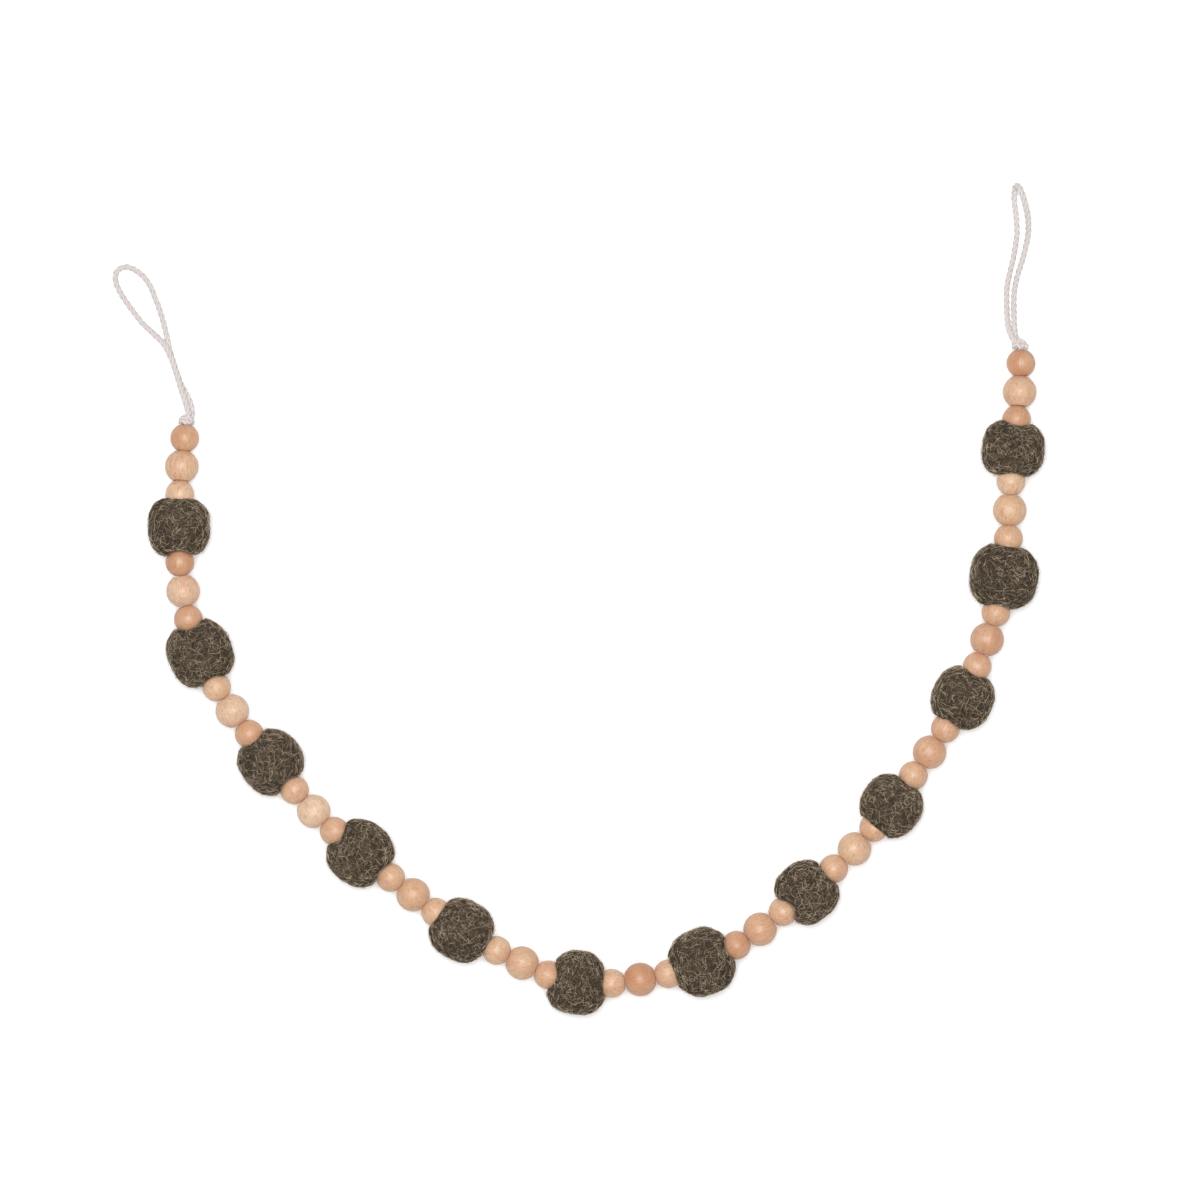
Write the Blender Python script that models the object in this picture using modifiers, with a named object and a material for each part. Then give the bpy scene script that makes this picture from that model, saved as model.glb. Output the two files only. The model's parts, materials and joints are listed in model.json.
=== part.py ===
"""Felt ball garland: felt balls and turned wooden beads strung on one cotton cord.

Twelve felt balls alternate with groups of three drilled beads, small, large and small.
Each end of the cord is knotted against its last bead, and runs on as a hanging loop.
The garland lies in a U on a flat surface at z = 0, with its open end towards +Y.

Metres, +Z up. The origin is on the surface, under the middle of the strung part.
"""

from math import cos, pi, radians, sin, tan

import bmesh
import bpy
from mathutils import Matrix, Vector

# ---------------------------------------------------------------- driving sizes
CLEARANCE = 0.0003             # gap between neighbouring pieces
CORD_DIAMETER = 0.0025         # twisted cotton cord
CORD_SIDE_RESOLUTION = 2       # eight-sided tubes

# Wooden beads: turned balls with both ends faced flat and a hole drilled through.
BEAD_COLUMNS = ("diameter", "length")
BEAD_SIZES = {
    "small": (0.0120, 0.0106),
    "large": (0.0140, 0.0120),
}
BEAD_BORE_RADIUS = 0.0018
BEAD_SIDES = 12
BEAD_ARC_SEGMENTS = 5

# Felt balls, from the left end of the cord to the right end. seat is the felt left
# between the bottoms of its two dimples; along, across and tall are its outer sizes
# along the cord, across it in plan, and upwards; boxy is 0 for an ellipsoid and 1 for
# a rounded block; swell makes its outer side longer than its inner side; shift moves the
# ball on the cord, so that one bead sits deeper in it than the other.
FELT_COLUMNS = ("seat", "along", "across", "tall", "boxy", "swell", "shift")
FELT_BALLS = [
    (0.0164, 0.0250, 0.0262, 0.0248, 0.40, 0.03, -0.0004),
    (0.0185, 0.0268, 0.0272, 0.0258, 0.40, 0.02, -0.0004),
    (0.0183, 0.0256, 0.0268, 0.0252, 0.30, 0.05, -0.0004),
    (0.0186, 0.0262, 0.0276, 0.0256, 0.30, 0.00, -0.0011),
    (0.0181, 0.0258, 0.0262, 0.0252, 0.25, 0.04, -0.0018),
    (0.0144, 0.0242, 0.0272, 0.0250, 0.30, 0.12, -0.0010),
    (0.0186, 0.0270, 0.0290, 0.0262, 0.20, 0.00, -0.0004),
    (0.0161, 0.0244, 0.0264, 0.0248, 0.30, 0.04, -0.0010),
    (0.0155, 0.0250, 0.0264, 0.0252, 0.20, 0.03, -0.0020),
    (0.0172, 0.0252, 0.0262, 0.0248, 0.25, 0.02, 0.0000),
    (0.0192, 0.0272, 0.0292, 0.0264, 0.30, 0.00, -0.0004),
    (0.0140, 0.0236, 0.0266, 0.0246, 0.35, -0.04, 0.0005),
]
FELT_BORE_RADIUS = 0.0016
FELT_SIDES = 16
FELT_RINGS = 10
BOXY_EXPONENT = 2.0            # how far boxy raises the ball's exponent above 2

# How the cord hangs between the balls, and droops to the surface beyond them.
MID_BEAD_SAG = 0.0014
END_BEAD_LIFT = 0.0001

# Knots: the doubled cord tied once, drawn up tight against the last bead.
KNOT_ACROSS = 0.0068
KNOT_ALONG = 0.0038
KNOT_TALL = 0.0062
KNOT_GROOVE = 0.14             # share of the radius lost between its two turns
KNOT_GROOVE_WIDTH = 0.28

# Route of the strung cord in plan, by the place of every felt ball (F) and every
# large bead (L), with the outer faces of the two end beads (E) first and last.
STRUNG_ROUTE = [
    ("E", -0.1704, 0.1052),
    ("L", -0.1722, 0.0886),
    ("F", -0.1732, 0.0628),
    ("L", -0.1716, 0.0366),
    ("F", -0.1649, 0.0103),
    ("L", -0.1512, -0.0134),
    ("F", -0.1349, -0.0343),
    ("L", -0.1174, -0.0552),
    ("F", -0.0980, -0.0725),
    ("L", -0.0760, -0.0897),
    ("F", -0.0561, -0.1045),
    ("L", -0.0308, -0.1181),
    ("F", -0.0080, -0.1267),
    ("L", 0.0182, -0.1249),
    ("F", 0.0442, -0.1181),
    ("L", 0.0679, -0.1042),
    ("F", 0.0869, -0.0886),
    ("L", 0.1071, -0.0710),
    ("F", 0.1221, -0.0529),
    ("L", 0.1382, -0.0307),
    ("F", 0.1520, -0.0085),
    ("L", 0.1620, 0.0159),
    ("F", 0.1694, 0.0421),
    ("L", 0.1714, 0.0698),
    ("F", 0.1727, 0.0952),
    ("L", 0.1760, 0.1192),
    ("E", 0.1764, 0.1363),
]

# Routes of the two hanging loops, from the knot out and back to it, laid slack on the
# surface. Beside the knot one leg lies on the other, and the right loop is turned on
# edge at its fold, so that the fold's springy bend rises a little and comes down again.
LOOP_LEFT_ROUTE = [
    (-0.1695, 0.1102, 0.0067),
    (-0.1704, 0.1138, 0.0062),
    (-0.1721, 0.1188, 0.0054),
    (-0.1737, 0.1238, 0.0047),
    (-0.1752, 0.1288, 0.0043),
    (-0.1769, 0.1334, 0.0042),
    (-0.1798, 0.1389, 0.0039),
    (-0.1841, 0.1432, 0.0021),
    (-0.1888, 0.1476, 0.0014),
    (-0.1935, 0.1536, 0.0014),
    (-0.1974, 0.1593, 0.0014),
    (-0.2000, 0.1649, 0.0014),
    (-0.1994, 0.1694, 0.0014),
    (-0.1953, 0.1711, 0.0014),
    (-0.1900, 0.1685, 0.0014),
    (-0.1861, 0.1639, 0.0014),
    (-0.1835, 0.1579, 0.0014),
    (-0.1812, 0.1516, 0.0014),
    (-0.1792, 0.1441, 0.0014),
    (-0.1779, 0.1383, 0.0014),
    (-0.1764, 0.1326, 0.0014),
    (-0.1748, 0.1276, 0.0014),
    (-0.1730, 0.1227, 0.0015),
    (-0.1707, 0.1185, 0.0023),
    (-0.1688, 0.1142, 0.0032),
    (-0.1681, 0.1102, 0.0037),
]
LOOP_RIGHT_ROUTE = [
    (0.1730, 0.1414, 0.0062),
    (0.1716, 0.1449, 0.0048),
    (0.1710, 0.1491, 0.0026),
    (0.1708, 0.1531, 0.0014),
    (0.1707, 0.1576, 0.0014),
    (0.1708, 0.1623, 0.0014),
    (0.1718, 0.1677, 0.0014),
    (0.1735, 0.1750, 0.0014),
    (0.1744, 0.1801, 0.0014),
    (0.1750, 0.1848, 0.0014),
    (0.1748, 0.1906, 0.0014),
    (0.1741, 0.1966, 0.0014),
    (0.1738, 0.2014, 0.0020),
    (0.1744, 0.2047, 0.0047),
    (0.1757, 0.2037, 0.0078),
    (0.1771, 0.2000, 0.0086),
    (0.1784, 0.1955, 0.0076),
    (0.1794, 0.1906, 0.0052),
    (0.1796, 0.1850, 0.0026),
    (0.1787, 0.1796, 0.0014),
    (0.1772, 0.1738, 0.0014),
    (0.1753, 0.1678, 0.0014),
    (0.1740, 0.1619, 0.0014),
    (0.1737, 0.1561, 0.0014),
    (0.1738, 0.1501, 0.0014),
    (0.1740, 0.1453, 0.0023),
    (0.1745, 0.1414, 0.0034),
]
LOOP_POINTS = 36               # tube points on each loop, read from the smooth curve
ROUTE_SAMPLES = 160            # samples of the smooth curve between two route points

COLOURS = {
    "felt": ((0.075, 0.060, 0.045, 1.0), 0.95),
    "wood": ((0.640, 0.380, 0.220, 1.0), 0.45),
    "cord": ((0.690, 0.630, 0.580, 1.0), 0.85),
}
UP = Vector((0.0, 0.0, 1.0))


# ---------------------------------------------------------------- scene and materials
def empty_scene():
    """Remove what the scene holds, and return new collections for parts and cutters."""
    for old in list(bpy.data.objects):
        bpy.data.objects.remove(old, do_unlink=True)
    collections = []
    for title in ("felt_ball_garland", "cutters"):
        collection = bpy.data.collections.new(title)
        bpy.context.scene.collection.children.link(collection)
        collections.append(collection)
    return collections


def material_for(node, kind):
    """A Principled material of one piece, in the colour of its kind."""
    colour, roughness = COLOURS[kind]
    material = bpy.data.materials.new(f"{node}_{kind}")
    material.use_nodes = True
    shader = material.node_tree.nodes["Principled BSDF"]
    shader.inputs["Base Color"].default_value = colour
    shader.inputs["Roughness"].default_value = roughness
    shader.inputs["Metallic"].default_value = 0.0
    return material


def add_part(node, data, kind, place, parts):
    """Put one piece in the parts collection, with its own material, at its place."""
    part = bpy.data.objects.new(node, data)
    part.matrix_world = place
    parts.objects.link(part)
    if not data.materials:
        data.materials.append(None)
    part.material_slots[0].link = "OBJECT"
    part.material_slots[0].material = material_for(node, kind)
    return part


def add_cutter(title, data, place, cutters):
    """Put one cutting shape in the cutters collection."""
    cutter = bpy.data.objects.new(title, data)
    cutter.matrix_world = place
    cutter.hide_render = True
    cutter.display_type = "WIRE"
    cutters.objects.link(cutter)
    return cutter


def cut(part, cutter):
    """Take one shape out of a part."""
    boolean = part.modifiers.new(f"less_{cutter.name}", "BOOLEAN")
    boolean.operation = "DIFFERENCE"
    boolean.solver = "EXACT"
    boolean.object = cutter


def mesh_from(title, shape):
    """Turn a bmesh into a mesh."""
    data = bpy.data.meshes.new(title)
    shape.to_mesh(data)
    shape.free()
    return data


# ---------------------------------------------------------------- route and places
def smooth_curve(points, samples):
    """Points of a Catmull-Rom curve through a hand-chosen route."""
    first = 2 * points[0] - points[1]
    last = 2 * points[-1] - points[-2]
    padded = [first, *points, last]
    curve = []
    for index in range(1, len(padded) - 2):
        before, start, end, after = padded[index - 1:index + 3]
        for step in range(samples):
            t = step / samples
            curve.append(0.5 * (
                2 * start
                + (end - before) * t
                + (2 * before - 5 * start + 4 * end - after) * t * t
                + (3 * start - before - 3 * end + after) * t * t * t
            ))
    curve.append(points[-1])
    return curve


def strung_pieces():
    """The pieces in their order on the cord, as (node, kind, row of sizes)."""
    small, large = (dict(zip(BEAD_COLUMNS, BEAD_SIZES[size])) for size in ("small", "large"))
    pieces = []
    small_count = 0
    for group in range(len(FELT_BALLS) + 1):
        for size in (small, large, small):
            if size is large:
                pieces.append((f"large_bead_{group + 1:02d}", "bead", large))
            else:
                small_count += 1
                pieces.append((f"small_bead_{small_count:02d}", "bead", small))
        if group < len(FELT_BALLS):
            sizes = dict(zip(FELT_COLUMNS, FELT_BALLS[group]))
            pieces.append((f"felt_ball_{group + 1:02d}", "felt", sizes))
    return pieces


def strung_route():
    """The strung cord's route in space: balls rest, beads sag, ends droop."""
    large_radius = BEAD_SIZES["large"][0] / 2
    small_radius = BEAD_SIZES["small"][0] / 2
    talls = [ball[FELT_COLUMNS.index("tall")] for ball in FELT_BALLS]
    heights = [tall / 2 for tall in talls]
    route = []
    balls_passed = 0
    for kind, x, y in STRUNG_ROUTE:
        at_an_end = balls_passed in (0, len(heights))
        if kind == "F":
            z = heights[balls_passed]
            balls_passed += 1
        elif kind == "E":
            z = small_radius + END_BEAD_LIFT
        elif at_an_end:
            z = large_radius + END_BEAD_LIFT
        else:
            z = (heights[balls_passed - 1] + heights[balls_passed]) / 2 - MID_BEAD_SAG
        route.append(Vector((x, y, z)))
    return route


def length_of(sizes):
    """How much of the cord a bead or a ball takes up."""
    return sizes["seat"] if "seat" in sizes else sizes["length"]


def flat_radius(sizes):
    """Radius of a bead's faced end: a ball of its diameter, cut off at its length."""
    return (sizes["diameter"] ** 2 - sizes["length"] ** 2) ** 0.5 / 2


def walk(curve, pitches):
    """Joints between pieces: each lies one pitch along from the last, in a straight line."""
    joints = [curve[0]]
    index = 0
    for pitch in pitches:
        while index < len(curve) - 1 and (curve[index] - joints[-1]).length < pitch:
            index += 1
        step = (curve[index] - joints[-1]).normalized() * pitch
        joints.append(joints[-1] + step)
    return joints


def string_up(pieces, curve):
    """Set each piece on the cord: rigid links that touch, and part where the cord bends.

    Two faced ends that meet at an angle touch at their inner rims, so a joint opens by
    the angle times the face's radius. A few rounds settle the angles and the openings.
    """
    gaps = [CLEARANCE] * (len(pieces) + 1)
    face = flat_radius(dict(zip(BEAD_COLUMNS, BEAD_SIZES["small"])))
    for _ in range(4):
        pitches = []
        for index, (_, _, sizes) in enumerate(pieces):
            pitches.append(length_of(sizes) + (gaps[index] + gaps[index + 1]) / 2)
        joints = walk(curve, pitches)
        axes = [(b - a).normalized() for a, b in zip(joints, joints[1:])]
        for index in range(1, len(pieces)):
            bend = axes[index - 1].angle(axes[index])
            gaps[index] = CLEARANCE + 2 * face * tan(bend / 2)
    centres = []
    for index, (_, _, sizes) in enumerate(pieces):
        inset = gaps[index] / 2 + length_of(sizes) / 2
        centres.append(joints[index] + axes[index] * inset)
    return joints, centres, axes


def place_along(centre, axis):
    """A place with local X along the cord, local Y level across it, and local Z up."""
    across = UP.cross(axis).normalized()
    upright = axis.cross(across)
    turn = Matrix((axis, across, upright)).transposed().to_4x4()
    return Matrix.Translation(centre) @ turn


# ---------------------------------------------------------------- wooden beads
def turned_profile(diameter, length, bore_radius):
    """Half section of a faced bead at +X, running down its outer side."""
    radius = diameter / 2
    half = length / 2
    face = (radius ** 2 - half ** 2) ** 0.5
    points = [(bore_radius, half), (face, half)]
    start = Vector((face, half)).angle_signed(Vector((1.0, 0.0)))
    for step in range(1, BEAD_ARC_SEGMENTS):
        angle = start * (1 - 2 * step / BEAD_ARC_SEGMENTS)
        points.append((radius * cos(angle), radius * sin(angle)))
    points += [(face, -half), (bore_radius, -half)]
    return points


def turned_mesh(title, profile, closed):
    """The half section as edges in the XZ plane, ready for a Screw modifier."""
    shape = bmesh.new()
    corners = [shape.verts.new((x, 0.0, z)) for x, z in profile]
    for upper, lower in zip(corners, corners[1:]):
        shape.edges.new((upper, lower))
    if closed:
        shape.edges.new((corners[-1], corners[0]))
    return mesh_from(title, shape)


def add_turning(target):
    """Turn an object's half section once round its Z axis."""
    screw = target.modifiers.new("turned", "SCREW")
    screw.axis = "Z"
    screw.angle = 2 * pi
    screw.steps = BEAD_SIDES
    screw.render_steps = BEAD_SIDES
    screw.use_merge_vertices = True
    screw.merge_threshold = 0.00001
    screw.use_smooth_shade = True


AXIS_TO_X = Matrix.Rotation(radians(90), 4, "Y")     # turned pieces lie along the cord


# ---------------------------------------------------------------- felt balls
def felt_mesh(node, sizes):
    """A felted ball: a sphere pressed towards a rounded block, longer on one side."""
    shape = bmesh.new()
    bmesh.ops.create_uvsphere(shape, u_segments=FELT_SIDES, v_segments=FELT_RINGS, radius=1.0)
    exponent = 2.0 + BOXY_EXPONENT * sizes["boxy"]
    for corner in shape.verts:
        x, y, z = corner.co
        reach = (abs(x) ** exponent + abs(y) ** exponent + abs(z) ** exponent) ** (-1 / exponent)
        x, y, z = x * reach, y * reach, z * reach
        x *= 1 - sizes["swell"] * y
        x = x * sizes["along"] / 2 + sizes["shift"]
        corner.co = (x, y * sizes["across"] / 2, z * sizes["tall"] / 2)
    data = mesh_from(node, shape)
    data.shade_smooth()
    return data


def cylinder_mesh(title, radius, length):
    """A plain cylinder along Z."""
    shape = bmesh.new()
    bmesh.ops.create_cone(
        shape, cap_ends=True, segments=BEAD_SIDES, radius1=radius, radius2=radius, depth=length
    )
    return mesh_from(title, shape)


def slab_mesh(title, side, depth):
    """A square slab whose top face is at z = 0."""
    shape = bmesh.new()
    bmesh.ops.create_cube(shape, size=1.0)
    bmesh.ops.scale(shape, vec=(side, side, depth), verts=shape.verts)
    bmesh.ops.translate(shape, vec=(0.0, 0.0, -depth / 2), verts=shape.verts)
    return mesh_from(title, shape)


def add_felt_ball(node, sizes, place, neighbours, parts, cutters):
    """A ball bored for the cord, dimpled by the beads on both sides and flat below."""
    ball = add_part(node, felt_mesh(node, sizes), "felt", place, parts)
    reach = 2 * sizes["along"]
    bore = cylinder_mesh(f"{node}_bore", FELT_BORE_RADIUS, reach)
    cut(ball, add_cutter(f"cut_{node}_bore", bore, place @ AXIS_TO_X, cutters))
    for side, (bead_sizes, bead_place) in zip(("before", "after"), neighbours):
        profile = turned_profile(
            bead_sizes["diameter"] + 2 * CLEARANCE, bead_sizes["length"] + 2 * CLEARANCE, 0.0
        )
        dimple = turned_mesh(f"{node}_{side}", profile, closed=False)
        cutter = add_cutter(f"cut_{node}_{side}", dimple, bead_place @ AXIS_TO_X, cutters)
        add_turning(cutter)
        cut(ball, cutter)
    surface = slab_mesh(f"{node}_surface", reach, reach)
    under = Matrix.Translation((place.translation.x, place.translation.y, 0.0))
    cut(ball, add_cutter(f"cut_{node}_surface", surface, under, cutters))


# ---------------------------------------------------------------- cords and knots
def add_cord(node, points, parts):
    """A cord as a capped tube on a straight-sided spline."""
    data = bpy.data.curves.new(node, "CURVE")
    data.dimensions = "3D"
    data.bevel_depth = CORD_DIAMETER / 2
    data.bevel_resolution = CORD_SIDE_RESOLUTION
    data.use_fill_caps = True
    spline = data.splines.new("POLY")
    spline.points.add(len(points) - 1)
    for spot, point in zip(spline.points, points):
        spot.co = (*point, 1.0)
    add_part(node, data, "cord", Matrix.Identity(4), parts)


def even_points(curve, count):
    """Points at even steps along a sampled curve, with both of its ends."""
    travelled = [0.0]
    for before, after in zip(curve, curve[1:]):
        travelled.append(travelled[-1] + (after - before).length)
    points = []
    index = 0
    for step in range(count):
        wanted = travelled[-1] * step / (count - 1)
        while index < len(curve) - 1 and travelled[index] < wanted:
            index += 1
        points.append(curve[index])
    return points


def add_knot(node, centre, axis, parts):
    """A tight knot: a flattened ball with a groove between its two turns of cord."""
    shape = bmesh.new()
    bmesh.ops.create_uvsphere(shape, u_segments=BEAD_SIDES, v_segments=8, radius=1.0)
    for corner in shape.verts:
        x, y, z = corner.co
        waist = 1 - KNOT_GROOVE * max(0.0, 1 - abs(z) / KNOT_GROOVE_WIDTH)
        corner.co = (
            x * waist * KNOT_TALL / 2,
            y * waist * KNOT_ACROSS / 2,
            z * KNOT_ALONG / 2,
        )
    data = mesh_from(node, shape)
    data.shade_smooth()
    add_part(node, data, "cord", place_along(centre, axis) @ AXIS_TO_X, parts)


# ---------------------------------------------------------------- the whole garland
def build():
    """Make every piece of the garland."""
    parts, cutters = empty_scene()
    pieces = strung_pieces()
    curve = smooth_curve(strung_route(), ROUTE_SAMPLES)
    joints, centres, axes = string_up(pieces, curve)
    places = [place_along(centre, axis) for centre, axis in zip(centres, axes)]

    bead_meshes = {}
    for size, row in BEAD_SIZES.items():
        diameter, length = row
        profile = turned_profile(diameter, length, BEAD_BORE_RADIUS)
        bead_meshes[diameter] = turned_mesh(f"{size}_bead", profile, closed=True)
    for index, (node, kind, sizes) in enumerate(pieces):
        if kind == "bead":
            turned = add_part(
                node, bead_meshes[sizes["diameter"]], "wood", places[index] @ AXIS_TO_X, parts
            )
            add_turning(turned)
        else:
            neighbours = [(pieces[near][2], places[near]) for near in (index - 1, index + 1)]
            add_felt_ball(node, sizes, places[index], neighbours, parts, cutters)

    add_cord("string", joints, parts)
    knot_inset = CLEARANCE + KNOT_ALONG / 2
    add_knot("knot_left", joints[0] - axes[0] * knot_inset, axes[0], parts)
    add_knot("knot_right", joints[-1] + axes[-1] * knot_inset, axes[-1], parts)
    for node, route in (("loop_left", LOOP_LEFT_ROUTE), ("loop_right", LOOP_RIGHT_ROUTE)):
        smooth = smooth_curve([Vector(point) for point in route], ROUTE_SAMPLES)
        add_cord(node, even_points(smooth, LOOP_POINTS), parts)


build()
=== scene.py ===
# %% [markdown]
# # A felt ball garland
#
# Felt balls and turned wooden beads on one twisted cotton cord, with a knot and a
# hanging loop at each end, lying in a U on a pale surface. The solid model of every
# piece is loaded first. Then each wooden bead, felt ball, knot and loop gets a finely
# made mesh in the same place, and a material of its own. Lengths are in metres.

import json
import math
import random

import bmesh
import bpy
import numpy as np
from mathutils import Matrix, Vector, noise

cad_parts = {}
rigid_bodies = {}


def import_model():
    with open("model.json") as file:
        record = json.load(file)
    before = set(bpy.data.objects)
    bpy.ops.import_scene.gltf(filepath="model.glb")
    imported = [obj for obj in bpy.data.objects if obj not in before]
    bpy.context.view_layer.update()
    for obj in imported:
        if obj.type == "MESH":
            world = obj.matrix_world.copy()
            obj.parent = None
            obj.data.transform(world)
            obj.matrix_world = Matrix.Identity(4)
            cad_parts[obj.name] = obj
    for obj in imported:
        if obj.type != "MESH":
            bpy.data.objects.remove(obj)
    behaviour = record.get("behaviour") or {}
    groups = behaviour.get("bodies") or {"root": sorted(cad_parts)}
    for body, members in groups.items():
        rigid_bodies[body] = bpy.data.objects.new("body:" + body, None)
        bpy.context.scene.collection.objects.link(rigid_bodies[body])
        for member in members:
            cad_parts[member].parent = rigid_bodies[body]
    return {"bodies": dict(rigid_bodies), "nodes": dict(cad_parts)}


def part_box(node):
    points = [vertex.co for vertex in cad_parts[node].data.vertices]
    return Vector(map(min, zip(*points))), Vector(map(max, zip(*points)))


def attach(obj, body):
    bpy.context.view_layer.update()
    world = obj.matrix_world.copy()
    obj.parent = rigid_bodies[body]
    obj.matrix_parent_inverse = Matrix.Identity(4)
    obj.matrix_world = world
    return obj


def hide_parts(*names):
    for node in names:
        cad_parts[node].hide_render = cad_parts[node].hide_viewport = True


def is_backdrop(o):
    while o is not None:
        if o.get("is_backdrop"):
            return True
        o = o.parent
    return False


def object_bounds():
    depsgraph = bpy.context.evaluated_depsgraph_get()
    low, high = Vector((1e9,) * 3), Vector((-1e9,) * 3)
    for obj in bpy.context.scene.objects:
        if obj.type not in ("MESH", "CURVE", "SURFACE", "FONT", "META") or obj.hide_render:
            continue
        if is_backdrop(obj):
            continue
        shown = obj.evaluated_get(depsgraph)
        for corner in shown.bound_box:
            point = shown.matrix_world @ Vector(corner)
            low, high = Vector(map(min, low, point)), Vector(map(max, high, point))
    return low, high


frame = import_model()
solid_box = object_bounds()
nodes = frame["nodes"]
body = next(iter(frame["bodies"]))
print(f"loaded {len(nodes)} solid pieces on the body {body!r}")

# %% [markdown]
# ## Two helpers
#
# Every operator of `bpy.ops` works on what is selected, and the loaded pieces come in
# selected. So each step that uses one starts by letting go of everything. A finished
# mesh becomes a piece in one way only: it gets its material, rides on the frame, and
# stands for the solid that it replaces.


# %% Let go, and make a mesh a piece
def let_go():
    """Deselect everything."""
    bpy.ops.object.select_all(action="DESELECT")


def new_piece(name, data, material, replaced=()):
    """Make a mesh a piece: its material and slot, the body it rides on, what it replaces."""
    data.name = name
    data.materials.clear()
    data.materials.append(material)
    piece = bpy.data.objects.new(name, data)
    bpy.context.scene.collection.objects.link(piece)
    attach(piece, body)
    if replaced:
        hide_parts(*replaced)
    return piece


let_go()
print("everything is deselected")

# %% [markdown]
# ## The route of the cord
#
# A strung cord doesn't curve inside a bead: each bead and each ball is a stiff link, and
# the cord bends only where two of them meet. So the route is a smooth curve through a
# few listed points, and the pieces are walked along it one after another, each
# lying straight between two joints. F marks a felt ball, L a large bead, and E the outer
# face of an end bead. The hanging loops' routes are points in space. Both of their ends
# run inside the knot.

# %% Sizes and places of the strung pieces
BEAD_COLUMNS = ("diameter", "length")
BEAD_SIZES = {
    "small": (0.0120, 0.0106),
    "large": (0.0140, 0.0120),
}
BEAD_BORE_RADIUS = 0.0018
CLEARANCE = 0.0003
MID_BEAD_SAG = 0.0014          # how far the cord sags between two balls
END_BEAD_LIFT = 0.0001         # the end beads all but touch the surface

# Lengths of a ball: what it takes up of the cord, then its size along the cord, across
# it and upwards. Then its form: how square, how much longer on one side, and how far
# off its middle it sits.
FELT_COLUMNS = ("seat", "along", "across", "tall", "boxy", "swell", "shift")
FELT_BALLS = [
    (0.0164, 0.0250, 0.0262, 0.0248, 0.40, 0.03, -0.0004),
    (0.0185, 0.0268, 0.0272, 0.0258, 0.40, 0.02, -0.0004),
    (0.0183, 0.0256, 0.0268, 0.0252, 0.30, 0.05, -0.0004),
    (0.0186, 0.0262, 0.0276, 0.0256, 0.30, 0.00, -0.0011),
    (0.0181, 0.0258, 0.0262, 0.0252, 0.25, 0.04, -0.0018),
    (0.0144, 0.0242, 0.0272, 0.0250, 0.30, 0.12, -0.0010),
    (0.0186, 0.0270, 0.0290, 0.0262, 0.20, 0.00, -0.0004),
    (0.0161, 0.0244, 0.0264, 0.0248, 0.30, 0.04, -0.0010),
    (0.0155, 0.0250, 0.0264, 0.0252, 0.20, 0.03, -0.0020),
    (0.0172, 0.0252, 0.0262, 0.0248, 0.25, 0.02, 0.0000),
    (0.0192, 0.0272, 0.0292, 0.0264, 0.30, 0.00, -0.0004),
    (0.0140, 0.0236, 0.0266, 0.0246, 0.35, -0.04, 0.0005),
]
STRUNG_ROUTE = [
    ("E", -0.1704, 0.1052),
    ("L", -0.1722, 0.0886),
    ("F", -0.1732, 0.0628),
    ("L", -0.1716, 0.0366),
    ("F", -0.1649, 0.0103),
    ("L", -0.1512, -0.0134),
    ("F", -0.1349, -0.0343),
    ("L", -0.1174, -0.0552),
    ("F", -0.0980, -0.0725),
    ("L", -0.0760, -0.0897),
    ("F", -0.0561, -0.1045),
    ("L", -0.0308, -0.1181),
    ("F", -0.0080, -0.1267),
    ("L", 0.0182, -0.1249),
    ("F", 0.0442, -0.1181),
    ("L", 0.0679, -0.1042),
    ("F", 0.0869, -0.0886),
    ("L", 0.1071, -0.0710),
    ("F", 0.1221, -0.0529),
    ("L", 0.1382, -0.0307),
    ("F", 0.1520, -0.0085),
    ("L", 0.1620, 0.0159),
    ("F", 0.1694, 0.0421),
    ("L", 0.1714, 0.0698),
    ("F", 0.1727, 0.0952),
    ("L", 0.1760, 0.1192),
    ("E", 0.1764, 0.1363),
]
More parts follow.
